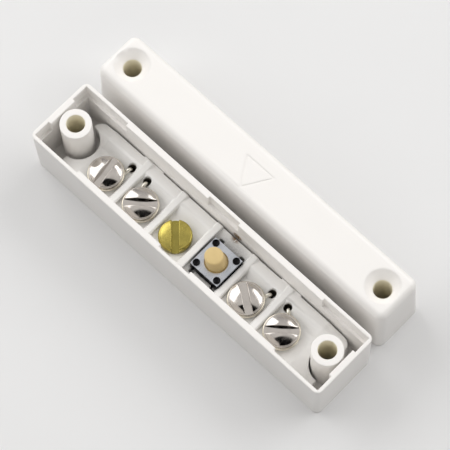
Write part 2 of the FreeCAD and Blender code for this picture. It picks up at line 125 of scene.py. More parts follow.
# The side on which a wire leaves its screw, 1 for the right, and its bearing in degrees
LEAVING = {
    "terminal_screw_1": (1, 52.0),
    "terminal_screw_2": (-1, 130.0),
    "terminal_screw_4": (1, 57.0),
    "terminal_screw_5": (-1, 113.0),
}

# Marks and painted shade on the mouldings: heights are given where a mark is clear and where it is
# full
TRAY_BORES_X = (-28.0 * MM, 28.0 * MM)
MAGNET_BORE_REACH = 27.85 * MM
BORE_RADIUS = 1.62 * MM
TRIANGLE_REACH = 4.0 * MM
TRIANGLE_DEPTH = 0.05 * MM
FLUX_SPOT = (3.2 * MM, 5.15 * MM, 6.2 * MM)
FLUX_RADIUS = 1.25 * MM
# Dust round the tamper switch, with painted shade in its well: how far it reaches and the heights
# below which it shows
DUST_AND_SHADE_RADIUS = 6.6 * MM
DUST_AND_SHADE_HEIGHTS = (6.05 * MM, 5.8 * MM)
# Painted shade inside the wire holes, below these heights
HOLE_SHADE_HEIGHTS = (5.7 * MM, 5.1 * MM)

# Tamper switch
PEG_STEPS = 28
PEG_REACH = 2.275 * MM
PEG_TIP_HEIGHT = 0.13 * MM
BUTTON_TIP_RADIUS = 1.56 * MM
BUTTON_FOOT_RADIUS = 1.75 * MM
BUTTON_STEM_RADIUS = 0.8 * MM
BUTTON_FLANGE = 0.5 * MM
BUTTON_CROWN = 0.04 * MM
BUTTON_SHIFT = 0.03 * MM
BUTTON_LEAN = (0.38 * MM, 0.12 * MM)

# Stage: each lamp's bearing and height in degrees, its width and its height in metres
LAMPS = {
    "left_lamp": (190.0, 36.0, 0.72, 0.46),
    "right_lamp": (73.0, 36.0, 0.58, 0.3),
    "front_lamp": (315.0, 20.0, 0.4, 0.3),
}
LAMP_DISTANCE = 0.6
LAMP_AIM = (0.0, 0.005, 0.005)

# The dark band in the sky, an ellipse among the directions with a soft edge
BAND_PLACE = (0.232, -0.268, 0.95)
BAND_TURN = -41.0
BAND_SIZE = (0.275, 0.68, 1.0)
BAND_FADE = (0.88, 1.08)
BAND_COLOUR = (0.005, 0.005, 0.005)
CEILING_COLOUR = (1.0, 0.985, 0.97)

# The shares of light that the horizon gives and that the floor throws back up
HORIZON_LIGHT = 0.2
FLOOR_REBOUND = 0.5

# The photo's view
CAMERA_LENS = 211.98666968
CAMERA_PLACE = (0.11192334557, -0.09768611293, 0.40727062529)
CAMERA_TURNS = (20.705118958, 1.262871685, 43.936721001)


def node_centre(node):
    low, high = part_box(node)
    return (low + high) / 2


def node_size(node):
    low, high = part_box(node)
    return high - low


# Sizes and colours that a user would change


def length(name, description, default):
    return FloatProperty(
        name=name,
        description=description,
        default=default,
        min=0.0,
        max=0.1,
        precision=5,
        unit="LENGTH",
    )


def colour(name, description, default):
    return FloatVectorProperty(
        name=name, description=description, default=default, min=0.0, max=1.0, subtype="COLOR"
    )


def factor(name, description, default, largest=1.0):
    return FloatProperty(
        name=name, description=description, default=default, min=0.0, max=largest, subtype="FACTOR"
    )


def power(name, description, default):
    return FloatProperty(
        name=name, description=description, default=default, min=0.0, unit="POWER"
    )


class MouldingSettings(PropertyGroup):
    housing_colour: colour(
        "Housing Colour", "Colour of the tray and magnet unit", (0.945, 0.922, 0.893)
    )
    carrier_colour: colour(
        "Carrier Colour", "Colour of the terminal carrier", (0.935, 0.925, 0.905)
    )
    # Speckled dust and painted shade in the well round the tamper switch
    dust_and_shade_colour: colour(
        "Dust And Shade Colour", "Colour of the dust and painted shade round the tamper switch", (0.25, 0.245, 0.235)
    )
    stain_colour: colour(
        "Stain Colour", "Colour of the flux stain at the tamper pocket", (0.20, 0.105, 0.03)
    )
    bore_colour: colour("Bore Colour", "Colour inside the screw holes", (0.975, 0.925, 0.77))
    # Painted shade that darkens the inside of the wire holes
    hole_shade_colour: colour(
        "Hole Shade Colour", "Colour of the painted shade inside the wire holes", (0.10, 0.09, 0.07)
    )
    edge_radius: length("Edge Radius", "Rounding of the tray's edges", 0.06 * MM)
    carrier_edge_radius: length("Carrier Edge Radius", "Rounding of the carrier's edges", 0.12 * MM)
    roughness: factor("Roughness", "Roughness of the housing's surface", 0.34)


class ScrewSettings(PropertyGroup):
    dome_width: length("Dome Width", "Width of the domed middle of a plated head", 5.2 * MM)
    dome_rise: length("Dome Rise", "Height of the dome on a plated head", 0.6 * MM)
    shoulder: length("Shoulder", "Radius of the rounded ring round the dome", 0.16 * MM)
    brass_rise: length("Brass Rise", "Height of the dome on the brass head", 0.32 * MM)
    slot_width: length("Slot Width", "Width of the driver slot", 1.2 * MM)
    slot_depth: length("Slot Depth", "Depth of the driver slot", 0.9 * MM)
    brass_slot_depth: length("Brass Slot Depth", "Depth of the brass screw's slot", 1.25 * MM)
    washer_edge: length("Washer Edge Radius", "Rounding of a clamp washer's edge", 0.18 * MM)
    plate_colour: colour("Plate Colour", "Colour of the nickel plate", (0.56, 0.525, 0.49))
    washer_colour: colour("Washer Colour", "Colour of the plated washers", (0.70, 0.65, 0.55))
    brass_colour: colour("Brass Colour", "Colour of the brass screw", (0.48, 0.395, 0.10))
    tarnish_colour: colour("Tarnish Colour", "Colour of the brass's tarnish", (0.26, 0.22, 0.06))
    # Painted shade low on the brass screw and in its slot
    brass_shade_colour: colour(
        "Brass Shade Colour", "Colour low on the brass screw and in its slot", (0.26, 0.22, 0.05)
    )


class WireSettings(PropertyGroup):
    diameter: length("Diameter", "Diameter of the tinned lead wires", 0.63 * MM)
    loop_radius: length("Loop Radius", "Radius of a wire's loop under its washer", 1.95 * MM)
    bend: length("Bend Radius", "Radius of the bends in a wire", 0.5 * MM)
    tin_colour: colour("Tin Colour", "Colour of the tinned wires", (0.84, 0.81, 0.72))


class TamperSettings(PropertyGroup):
    plate_edge: length("Plate Edge", "Rounding of the cover plate's edges", 0.06 * MM)
    peg_diameter: length("Peg Diameter", "Diameter of the pegs' flattened tips", 1.22 * MM)
    button_edge: length("Button Edge", "Rounding of the button's top edge", 0.28 * MM)
    plate_colour: colour("Plate Colour", "Colour of the sheet metal cover", (0.56, 0.585, 0.635))
    button_colour: colour("Button Colour", "Colour of the push button", (0.70, 0.525, 0.24))
    body_colour: colour("Body Colour", "Colour of the switch body", (0.002, 0.002, 0.003))


class StageSettings(PropertyGroup):
    floor_colour: colour("Floor Colour", "Colour of the floor", (0.80, 0.80, 0.80))
    left_lamp: power("Left Lamp", "Power of the left lamp", 2.06)
    right_lamp: power("Right Lamp", "Power of the right lamp", 1.57)
    front_lamp: power("Front Lamp", "Power of the front lamp", 0.35)
    sky: factor("Sky", "Brightness of the light from overhead", 0.87, 2.0)


class DoorContactSettings(PropertyGroup):
    moulding: PointerProperty(type=MouldingSettings)
    screws: PointerProperty(type=ScrewSettings)
    wires: PointerProperty(type=WireSettings)
    tamper: PointerProperty(type=TamperSettings)
    stage: PointerProperty(type=StageSettings)


# Materials


class Finish:
    """A material whose colour, roughness and bump are built up from patterns in object space."""

    def __init__(self, name, base, roughness, metallic=0.0):
        self.material = bpy.data.materials.new(name)
        self.material.use_nodes = True
        self.tree = self.material.node_tree
        self.shader = self.tree.nodes["Principled BSDF"]
        self.shader.inputs["Metallic"].default_value = metallic
        self.shader.inputs["Roughness"].default_value = roughness
        self.place = self.tree.nodes.new("ShaderNodeTexCoord").outputs["Object"]
        self.colour = self.rgb(base)
        self.normal = None
        self.material.diffuse_color = (*base, 1.0)

    def rgb(self, value):
        node = self.tree.nodes.new("ShaderNodeRGB")
        node.outputs[0].default_value = (*value, 1.0)
        return node.outputs[0]

    def link(self, output, socket):
        self.tree.links.new(output, socket)

    def noise(self, per_metre, detail=2.0, stretch=(1.0, 1.0, 1.0)):
        mapping = self.tree.nodes.new("ShaderNodeMapping")
        mapping.inputs["Scale"].default_value = stretch
        self.link(self.place, mapping.inputs["Vector"])
        node = self.tree.nodes.new("ShaderNodeTexNoise")
        node.inputs["Scale"].default_value = per_metre
        node.inputs["Detail"].default_value = detail
        self.link(mapping.outputs["Vector"], node.inputs["Vector"])
        return node.outputs["Fac"]

    def ramp(self, value, low, high, to_low=0.0, to_high=1.0):
        node = self.tree.nodes.new("ShaderNodeMapRange")
        node.interpolation_type = "SMOOTHSTEP"
        for socket, number in zip(
            ("From Min", "From Max", "To Min", "To Max"), (low, high, to_low, to_high)
        ):
            node.inputs[socket].default_value = number
        self.link(value, node.inputs["Value"])
        return node.outputs["Result"]

    def math(self, operation, first, second):
        node = self.tree.nodes.new("ShaderNodeMath")
        node.operation = operation
        for socket, value in zip(node.inputs, (first, second)):
            if isinstance(value, (int, float)):
                socket.default_value = value
            else:
                self.link(value, socket)
        return node.outputs[0]

    def blend(self, amount, other):
        """Mixes another colour into the surface by an amount from 0 to 1."""
        node = self.tree.nodes.new("ShaderNodeMix")
        node.data_type = "RGBA"
        self.link(amount, node.inputs["Factor"])
        self.link(self.colour, node.inputs["A"])
        self.link(self.rgb(other), node.inputs["B"])
        self.colour = node.outputs["Result"]

    def patches(self, per_metre, low, high, most, other, detail=2.0):
        """Soft patches of another colour, where the noise passes from low to high."""
        self.blend(self.ramp(self.noise(per_metre, detail), low, high, 0.0, most), other)

    def spot(self, centre, radius):
        """1 at a place on the object, falling to 0 at the radius."""
        node = self.tree.nodes.new("ShaderNodeVectorMath")
        node.operation = "DISTANCE"
        self.link(self.place, node.inputs[0])
        node.inputs[1].default_value = centre
        return self.ramp(node.outputs["Value"], radius * 0.35, radius, 1.0, 0.0)

    def soften(self, radius):
        """Lets the light run round the edges, as on moulded plastic."""
        node = self.tree.nodes.new("ShaderNodeBevel")
        node.samples = 6
        node.inputs["Radius"].default_value = radius
        self.normal = node.outputs["Normal"]

    def under(self, clear_z, full_z):
        """1 below a height, falling to 0 above it."""
        split = self.tree.nodes.new("ShaderNodeSeparateXYZ")
        self.link(self.place, split.inputs[0])
        return self.ramp(split.outputs["Z"], full_z, clear_z, 1.0, 0.0)

    def column(self, x, y, radius):
        """1 near an upright line, falling to 0 at the radius."""
        flat = self.tree.nodes.new("ShaderNodeVectorMath")
        flat.operation = "MULTIPLY"
        self.link(self.place, flat.inputs[0])
        flat.inputs[1].default_value = (1.0, 1.0, 0.0)
        away = self.tree.nodes.new("ShaderNodeVectorMath")
        away.operation = "DISTANCE"
        self.link(flat.outputs[0], away.inputs[0])
        away.inputs[1].default_value = (x, y, 0.0)
        return self.ramp(away.outputs["Value"], radius * 0.96, radius, 1.0, 0.0)

    def stained(self, brown):
        """Brown speckles of soldering flux behind the tamper pocket."""
        speckles = self.ramp(self.noise(2600.0, detail=4.0), 0.33, 0.47)
        self.blend(self.math("MULTIPLY", self.spot(FLUX_SPOT, FLUX_RADIUS), speckles), brown)

    def rough(self, value, low, high):
        """Lets the roughness wander from low to high."""
        self.link(self.ramp(value, 0.3, 0.7, low, high), self.shader.inputs["Roughness"])

    def bump(self, value, height):
        """Adds a relief of this height in metres to those before it."""
        node = self.tree.nodes.new("ShaderNodeBump")
        node.inputs["Distance"].default_value = height
        self.link(value, node.inputs["Height"])
        if self.normal is not None:
            self.link(self.normal, node.inputs["Normal"])
        self.normal = node.outputs["Normal"]

    def done(self):
        self.link(self.colour, self.shader.inputs["Base Color"])
        if self.normal is not None:
            self.link(self.normal, self.shader.inputs["Normal"])
        return self.material


def shaded(base, by):
    return tuple(min(1.0, channel * by) for channel in base)


def housing_plastic(settings, name, softness, bores_x, bores_y):
    """Glossy white moulded plastic, yellower inside its screw holes, stained at one place."""
    base = tuple(settings.housing_colour)
    finish = Finish(name, base, settings.roughness)
    finish.soften(softness)
    finish.patches(160.0, 0.35, 0.7, 0.3, shaded(base, 0.975), detail=3.0)
    for x in bores_x:
        finish.blend(finish.column(x, bores_y, BORE_RADIUS), tuple(settings.bore_colour))
    finish.stained(tuple(settings.stain_colour))
    finish.rough(finish.noise(240.0), settings.roughness - 0.05, settings.roughness + 0.08)
    finish.bump(finish.noise(420.0), 0.008 * MM)
    finish.bump(finish.noise(6000.0, detail=1.0), 0.0012 * MM)
    return finish.done()


def carrier_plastic(settings):
    """Satin off-white plastic with dust and painted shade round the tamper switch, painted shade in
    the wire holes, and stained behind the switch.
    """
    base = tuple(settings.carrier_colour)
    finish = Finish("carrier_plastic", base, 0.42)
    finish.soften(0.3 * MM)
    finish.patches(220.0, 0.35, 0.7, 0.3, shaded(base, 0.96), detail=3.0)
    low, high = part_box("tamper_body")
    switch_top = ((low.x + high.x) / 2, (low.y + high.y) / 2, high.z)
    # Dust speckles and painted shade, darkening the carrier round the tamper switch below a height
    grains = finish.ramp(finish.noise(5200.0, detail=3.0), 0.30, 0.62, 0.55, 1.0)
    near = finish.spot(switch_top, DUST_AND_SHADE_RADIUS)
    dust_and_shade = finish.math("MULTIPLY", near, finish.under(*DUST_AND_SHADE_HEIGHTS))
    finish.blend(finish.math("MULTIPLY", dust_and_shade, grains), tuple(settings.dust_and_shade_colour))
    # Painted shade inside each wire hole, below the seats
    for x in WIRE_HOLES_X:
        inside = finish.column(x * MM, WIRE_HOLES_Y * MM, WIRE_HOLE_RADIUS * MM)
        hole_shade = finish.math("MULTIPLY", inside, finish.under(*HOLE_SHADE_HEIGHTS))
        finish.blend(hole_shade, tuple(settings.hole_shade_colour))
    finish.stained(tuple(settings.stain_colour))
    finish.rough(finish.noise(300.0), 0.36, 0.5)
    finish.bump(finish.noise(500.0), 0.010 * MM)
    finish.bump(finish.noise(7000.0, detail=1.0), 0.0016 * MM)
    return finish.done()


def bright_metal(name, base, roughness, waves, grain=0.0):
    """Plated or polished metal whose slightly wavy surface bends its reflections."""
    finish = Finish(name, base, roughness, 1.0)
    finish.patches(700.0, 0.45, 0.75, 0.35, shaded(base, 0.82), detail=3.0)
    finish.rough(finish.noise(1400.0, detail=3.0), roughness * 0.6, roughness * 1.7)
    finish.bump(finish.noise(420.0, detail=1.0), waves)
    if grain:
        finish.bump(finish.noise(9000.0), grain)
    return finish.done()


def brass_metal(settings):
    """Turned brass, a little tarnished, with painted shade low on its side and in its slot."""
    base = tuple(settings.brass_colour)
    finish = Finish("brass", base, 0.16, 1.0)
    finish.patches(500.0, 0.42, 0.7, 0.5, tuple(settings.tarnish_colour), detail=3.0)
    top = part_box(BRASS_SCREW)[1].z
    # Painted shade: darker low on the head's side and in its slot
    low = finish.math("MULTIPLY", finish.under(top - 0.45 * MM, top - 0.95 * MM), 0.6)
    finish.blend(low, tuple(settings.brass_shade_colour))
    finish.rough(finish.noise(900.0, detail=3.0), 0.16, 0.28)
    finish.bump(finish.noise(500.0), 0.022 * MM)
    finish.bump(finish.noise(6000.0), 0.0012 * MM)
    return finish.done()


def sheet_metal(settings):
    """Satin tinned sheet with fine rolling lines."""
    base = tuple(settings.plate_colour)
    finish = Finish("switch_cover_steel", base, 0.36, 0.75)
    lines = finish.noise(2600.0, stretch=(1.0, 0.08, 1.0))
    finish.blend(finish.ramp(lines, 0.5, 0.8, 0.0, 0.35), shaded(base, 0.8))
    finish.patches(420.0, 0.4, 0.65, 0.5, shaded(base, 0.78))
    finish.rough(lines, 0.24, 0.4)
    finish.bump(finish.noise(500.0), 0.02 * MM)
    finish.bump(lines, 0.0025 * MM)
    return finish.done()


def switch_black(settings):
    """Matte black moulded plastic."""
    base = tuple(settings.body_colour)
    finish = Finish("switch_black", base, 0.4)
    finish.shader.inputs["Specular IOR Level"].default_value = 0.1
    finish.patches(1800.0, 0.4, 0.7, 0.5, shaded(base, 1.8))
    finish.rough(finish.noise(2500.0), 0.22, 0.4)
    finish.bump(finish.noise(5000.0), 0.004 * MM)
    return finish.done()


def button_plastic(settings):
    """Satin cream plastic, slightly mottled."""
    base = tuple(settings.button_colour)
    finish = Finish("button_cream", base, 0.45)
    finish.patches(700.0, 0.4, 0.75, 0.4, shaded(base, 0.92))
    finish.rough(finish.noise(900.0), 0.38, 0.55)
    finish.bump(finish.noise(6000.0), 0.003 * MM)
    return finish.done()


def reed_glass():
    """Clear, faintly green glass."""
    finish = Finish("reed_glass", (0.86, 0.95, 0.88), 0.05)
    finish.patches(500.0, 0.4, 0.7, 0.4, (0.74, 0.9, 0.78))
    finish.rough(finish.noise(900.0), 0.03, 0.08)
    finish.shader.inputs["Transmission Weight"].default_value = 0.9
    finish.shader.inputs["IOR"].default_value = 1.5
    return finish.done()


def sintered_magnet():
    """Dull dark grey sintered magnet."""
    finish = Finish("ferrite", (0.055, 0.055, 0.06), 0.7)
    finish.patches(1500.0, 0.4, 0.7, 0.7, (0.10, 0.10, 0.105), detail=4.0)
    finish.rough(finish.noise(1200.0, detail=3.0), 0.55, 0.8)
    finish.bump(finish.noise(2500.0, detail=3.0), 0.02 * MM)
    return finish.done()


def paint(piece, material):
    piece.data.materials.clear()
    piece.data.materials.append(material)


# Meshes


def new_piece(name, mesh, material, body, replaced):
    """A finished piece in the scene, which stands for CAD nodes and rides on their body."""
    piece = bpy.data.objects.new(name, mesh)
    bpy.context.scene.collection.objects.link(piece)
    if material is not None:
        paint(piece, material)
    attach(piece, body)
    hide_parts(*replaced)
    return piece


def mesh_from(bm, name):
    """The finished mesh of a bmesh, shaded smooth."""
    mesh = bpy.data.meshes.new(name)
    bm.to_mesh(mesh)
    bm.free()
    mesh.shade_smooth()
    return mesh


def merged_copy(node):
    """A copy of a CAD node with its triangles joined back into flat faces."""
    bm = bmesh.new()
    bm.from_mesh(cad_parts[node].data)
    bmesh.ops.remove_doubles(bm, verts=bm.verts, dist=0.002 * MM)
    bmesh.ops.dissolve_limit(
        bm,
        angle_limit=math.radians(0.5),
        verts=bm.verts,
        edges=bm.edges,
        use_dissolve_boundaries=False,
    )
    return bm


def rounded(piece, radius, steps=3, angle=25.0, kept=(), reach=0.0):
    """Rounds a piece's sharp edges, except those near the upright lines in kept."""
    bm = bmesh.new()
    bm.from_mesh(piece.data)
    weight = bm.edges.layers.float.new("bevel_weight_edge")
    for edge in bm.edges:
        middle = (edge.verts[0].co + edge.verts[1].co) / 2
        near = any((middle.xy - Vector(place)).length < reach for place in kept)
        if edge.calc_face_angle(0.0) > math.radians(angle) and not near:
            edge[weight] = 1.0
    bm.to_mesh(piece.data)
    bm.free()
    piece.data.set_sharp_from_angle(angle=math.radians(20))
    bevel = piece.modifiers.new("Rounded Edges", "BEVEL")
    bevel.width = radius
    bevel.segments = steps
    bevel.limit_method = "WEIGHT"
    bevel.use_clamp_overlap = False
    bevel.harden_normals = True
    bevel.miter_outer = "MITER_ARC"


def join_rings(bm, low, high):
    """Faces between two closed rings, of which either may be a single point."""
    steps = max(len(low), len(high))
    for step in range(steps):
        after = (step + 1) % steps
        corners = [low[step % len(low)], low[after % len(low)]]
        corners += [high[after % len(high)], high[step % len(high)]]
        unique = list(dict.fromkeys(corners))
        if len(unique) > 2:
            bm.faces.new(unique)


def lathe(profile, steps, centre):
    """Turns (radius, z) points about an upright line, closed at radius 0 or on itself."""
    bm = bmesh.new()
    rings = []
    for radius, z in profile:
        if radius < 1e-9:
            rings.append([bm.verts.new((centre.x, centre.y, z))])
            continue
        ring = []
        for step in range(steps):
            turn = 2 * math.pi * step / steps
            ring.append(bm.verts.new((
                centre.x + radius * math.cos(turn), centre.y + radius * math.sin(turn), z
            )))
        rings.append(ring)
    for low, high in zip(rings, rings[1:]):
        join_rings(bm, low, high)
    bmesh.ops.remove_doubles(bm, verts=bm.verts, dist=0.0005 * MM)
    bmesh.ops.recalc_face_normals(bm, faces=bm.faces)
    return bm


def arc(centre_r, centre_z, radius, start, end, steps):
    """Points on a quarter or part of a circle in an (r, z) profile."""
    points = []
    for step in range(steps + 1):
        turn = math.radians(start + (end - start) * step / steps)
        points.append((centre_r + radius * math.cos(turn), centre_z + radius * math.sin(turn)))
    return points


# Geometry Nodes


class Tree:
    """A Geometry Nodes tree with named inputs, for one kind of repeated piece."""

    def __init__(self, name):
        self.group = bpy.data.node_groups.new(name, "GeometryNodeTree")
        for way in ("INPUT", "OUTPUT"):
            self.group.interface.new_socket(
                "Geometry", in_out=way, socket_type="NodeSocketGeometry"
            )
        self.start = self.group.nodes.new("NodeGroupInput")
        self.end = self.group.nodes.new("NodeGroupOutput")
        self.identifiers = {}

    def input(self, name, kind):
        socket = self.group.interface.new_socket(name, in_out="INPUT", socket_type=kind)
        self.identifiers[name] = socket.identifier
        return self.start.outputs[name]

    def node(self, kind, links=(), **settings):
        node = self.group.nodes.new(kind)
        for name, value in settings.items():
            setattr(node, name, value)
        for socket, source in dict(links).items():
            target = node.inputs[socket]
            if isinstance(source, bpy.types.NodeSocket):
                self.group.links.new(source, target)
            else:
                target.default_value = source
        return node

    def finish(self, geometry):
        """Ends the tree in real geometry of one material, shaded smooth."""
        realized = self.node("GeometryNodeRealizeInstances", {"Geometry": geometry})
        smooth = self.node("GeometryNodeSetShadeSmooth", {"Geometry": realized.outputs[0]})
        material = self.input("Material", "NodeSocketMaterial")
        painted = self.node(
            "GeometryNodeSetMaterial", {"Geometry": smooth.outputs[0], "Material": material}
        )
        self.group.links.new(painted.outputs[0], self.end.inputs[0])

    def mesh(self, holder, values, name):
        """Evaluates the tree on an object and returns the result as a plain mesh."""
        modifier = holder.modifiers.new(self.group.name, "NODES")
        modifier.node_group = self.group
        for key, value in values.items():
            modifier[self.identifiers[key]] = value
        bpy.context.view_layer.update()
        graph = bpy.context.evaluated_depsgraph_get()
        mesh = bpy.data.meshes.new_from_object(holder.evaluated_get(graph), depsgraph=graph)
        mesh.name = name
        holder.modifiers.remove(modifier)
        return mesh


def holder_of(name, mesh):
    holder = bpy.data.objects.new(name, mesh)
    bpy.context.scene.collection.objects.link(holder)
    return holder


def drop(*objects):
    for thing in objects:
        bpy.data.objects.remove(thing)


def points_holder(name, places, turns):
    """One vertex for each repeated piece, with its turns about x, y and z."""
    mesh = bpy.data.meshes.new(name)
    mesh.from_pydata(places, [], [])
    attribute = mesh.attributes.new("turn", "FLOAT_VECTOR", "POINT")
    attribute.data.foreach_set("vector", [angle for turn in turns for angle in turn])
    return holder_of(name, mesh)


def routes_holder(name, routes):
    """A chain of edges for each wire's route."""
    mesh = bpy.data.meshes.new(name)
    points = [tuple(point * MM) for route in routes for point in route]
    edges = []
    start = 0
    for route in routes:
        edges += [(start + step, start + step + 1) for step in range(len(route) - 1)]
        start += len(route)
    mesh.from_pydata(points, edges, [])
    return holder_of(name, mesh)


def repeat_tree(name):
    """Sets a master piece on every point, turned by the point's own angles."""
    tree = Tree(name)
    master = tree.input("Master", "NodeSocketObject")
    size = tree.input("Size", "NodeSocketFloat")
    info = tree.node("GeometryNodeObjectInfo", {"Object": master})
    turn = tree.node("GeometryNodeInputNamedAttribute", {"Name": "turn"}, data_type="FLOAT_VECTOR")
    angle = tree.node("FunctionNodeEulerToRotation", {"Euler": turn.outputs["Attribute"]})
    placed = tree.node("GeometryNodeInstanceOnPoints", {
        "Points": tree.start.outputs["Geometry"],
        "Instance": info.outputs["Geometry"],
        "Rotation": angle.outputs[0],
        "Scale": size,
    })
    tree.finish(placed.outputs[0])
    return tree


def repeated(tree_name, master, places, turns, material, name):
    """A plain mesh of a master piece set at every place, each turned by its own angles."""
    holder = points_holder(name + "_places", places, turns)
    values = {"Master": master, "Size": 1.0, "Material": material}
    mesh = repeat_tree(tree_name).mesh(holder, values, name)
    drop(holder, master)
    return mesh


def wire_tree():
    """Makes round wires along chains of edges, with rounded bends and closed ends."""
    tree = Tree("Lead Wires")
    diameter = tree.input("Diameter", "NodeSocketFloat")
    bend = tree.input("Bend Radius", "NodeSocketFloat")
    steps = tree.input("Bend Steps", "NodeSocketInt")
    path = tree.node("GeometryNodeMeshToCurve", {"Mesh": tree.start.outputs["Geometry"]})
    soft = tree.node("GeometryNodeFilletCurve", {
        "Curve": path.outputs[0],
        "Count": steps,
        "Radius": bend,
        "Limit Radius": True,
    }, mode="POLY")
    radius = tree.node("ShaderNodeMath", {0: diameter, 1: 0.5}, operation="MULTIPLY")
    ring = tree.node(
        "GeometryNodeCurvePrimitiveCircle", {"Resolution": WIRE_SIDES, "Radius": radius.outputs[0]}
    )
    tube = tree.node("GeometryNodeCurveToMesh", {
        "Curve": soft.outputs[0],
        "Profile Curve": ring.outputs["Curve"],
        "Fill Caps": True,
    })
    tree.finish(tube.outputs[0])
    return tree


# Pieces


def dome(reach, top, rise, steps=10):
    """Points of a dome's profile from its edge up to its middle."""
    ball = (reach * reach + rise * rise) / (2 * rise)
    points = []
    for step in range(steps + 1):
        radius = reach * (1 - step / steps)
        points.append((radius, top - ball + math.sqrt(ball * ball - radius * radius)))
    return points


def head_foot(radius):
    """Points of a head's underside and of its softened lower edge."""
    inner = radius - HEAD_FOOT
    return [(0.0, 0.0), (inner, 0.0), *arc(inner, HEAD_FOOT, HEAD_FOOT, -90, 0, 3)]


def plated_profile(settings, radius):
    """A pressed head: straight side, rounded ring, then the dome standing in it."""
    ring = settings.shoulder
    ring_z = PLATED_HEIGHT - settings.dome_rise - ring - 0.06 * MM
    profile = head_foot(radius)
    profile += arc(radius - ring, ring_z, ring, 0, 110, 8)
    profile += dome(settings.dome_width / 2, PLATED_HEIGHT, settings.dome_rise)
    return profile


def turned_profile(settings, radius):
    """A turned head: straight side, softened edge, low dome."""
    edge_z = BRASS_HEIGHT - settings.brass_rise - 0.97 * BRASS_EDGE
    profile = head_foot(radius)
    profile += arc(radius - BRASS_EDGE, edge_z, BRASS_EDGE, 0, 75, 6)
    profile += dome(radius - 0.8 * BRASS_EDGE, BRASS_HEIGHT, settings.brass_rise)
    return profile


def cut_profile(profile, floor_z, clear):
    """Splits a head's profile at the slot's floor, and ends it at the slot's rounded edge."""
    lower, upper = [profile[0]], []
    for (radius, z), (next_radius, next_z) in zip(profile, profile[1:]):
        if not upper and z < floor_z <= next_z:
            share = (floor_z - z) / (next_z - z)
            upper.append((radius + (next_radius - radius) * share, floor_z))
        if upper and next_radius < clear:
            share = (radius - clear) / (radius - next_radius)
            upper.append((clear, z + (next_z - z) * share))
            return lower, upper
        (upper or lower).append((next_radius, next_z))


def slotted_half(bm, upper, side, clear):
    """Makes half of a slotted head above the slot's floor and returns its lowest row of points."""
    rows = []
    for index, (radius, z) in enumerate(upper):
        before, after = upper[max(index - 1, 0)], upper[min(index + 1, len(upper) - 1)]
        start = math.asin(min(1.0, clear / radius))
        lean = Vector(((after[1] - before[1]) * math.cos(start), before[0] - after[0])).normalized()
        sweep = math.pi - 2 * start
        turns = [start + sweep * step / HEAD_STEPS for step in range(HEAD_STEPS + 1)]
        row = [(radius * math.cos(turn), radius * math.sin(turn), z) for turn in turns]
        for step in range(1, SLOT_EDGE_STEPS + 1):
            turn = math.radians(90 * step / SLOT_EDGE_STEPS)
            inward = SLOT_EDGE * (1 - math.cos(turn))
            x = radius * math.cos(start) - lean.x * inward
            point = (clear - SLOT_EDGE * math.sin(turn), z - lean.y * inward)
            row = [(x, *point), *row, (-x, *point)]
        rows.append([bm.verts.new((x, side * y, height)) for x, y, height in row])
    for low, high in zip(rows, rows[1:]):
        for step in range(len(low) - 1):
            bm.faces.new((low[step], low[step + 1], high[step + 1], high[step]))
    bm.faces.new([row[0] for row in rows] + [row[-1] for row in reversed(rows)])
    return rows[0]


def screw_master(settings, profile, height, depth, name):
    """A slotted head with its shank round the origin, the head's underside at z 0."""
    shank = [
        (0.0, -SHANK_LENGTH),
        (SHANK_RADIUS - SHANK_CHAMFER, -SHANK_LENGTH),
        (SHANK_RADIUS, SHANK_CHAMFER - SHANK_LENGTH),
        (SHANK_RADIUS, 0.0),
    ]
    clear = settings.slot_width / 2 + SLOT_EDGE
    floor_z = height - depth
    lower, upper = cut_profile(shank + profile[1:], floor_z, clear)
    bm = bmesh.new()
    back = slotted_half(bm, upper, 1, clear)
    front = slotted_half(bm, upper, -1, clear)
    radius = upper[0][0]
    gap = math.asin(clear / radius)
    turns = [gap * (1 - 2 * step / MOUTH_STEPS) for step in range(1, MOUTH_STEPS)]
    left, right = [
        [
            bm.verts.new((side * radius * math.cos(turn), radius * math.sin(turn), floor_z))
            for turn in turns
        ]
        for side in (-1, 1)
    ]
    right.reverse()
    first, last = SLOT_EDGE_STEPS, SLOT_EDGE_STEPS + HEAD_STEPS
    back_foot = back[first::-1] + back[: last - 1 : -1]
    front_foot = front[last:] + front[: first + 1]
    bm.faces.new(back_foot + left + front_foot + right)
    ring = back[first : last + 1] + left + front[last : first - 1 : -1] + right
    for reach, z in reversed(lower):
        share = reach / radius
        places = [(vert.co.x * share, vert.co.y * share, z) for vert in ring]
        below = [bm.verts.new(place) for place in (places if reach else [(0.0, 0.0, z)])]
        join_rings(bm, ring, below)
        ring, radius = below, reach
    bmesh.ops.remove_doubles(bm, verts=bm.verts, dist=0.0005 * MM)
    bmesh.ops.recalc_face_normals(bm, faces=bm.faces)
    for line in bm.edges:
        # Only the slot's floor and walls have more than six corners
        flat = any(len(face.verts) > 6 for face in line.link_faces)
        line.smooth = not flat and line.calc_face_angle(0.0) < math.radians(32)
    return holder_of(name, mesh_from(bm, name))


def washer_master(settings):
    """A flat clamp washer with rounded edges round the origin, its underside at z 0."""
    size = node_size(WASHERS[0])
    edge = settings.washer_edge
    outer = size.x / 2 - edge
    inner = WASHER_HOLE_RADIUS + edge
    profile = arc(outer, edge, edge, -90, 0, 4)
    profile += arc(outer, size.z - edge, edge, 0, 90, 4)
    profile += arc(inner, size.z - edge, edge, 90, 180, 4)
    profile += arc(inner, edge, edge, 180, 270, 4)
    bm = lathe(profile + profile[:1], TURNED_STEPS, Vector((0, 0, 0)))
    return holder_of("washer", mesh_from(bm, "washer"))


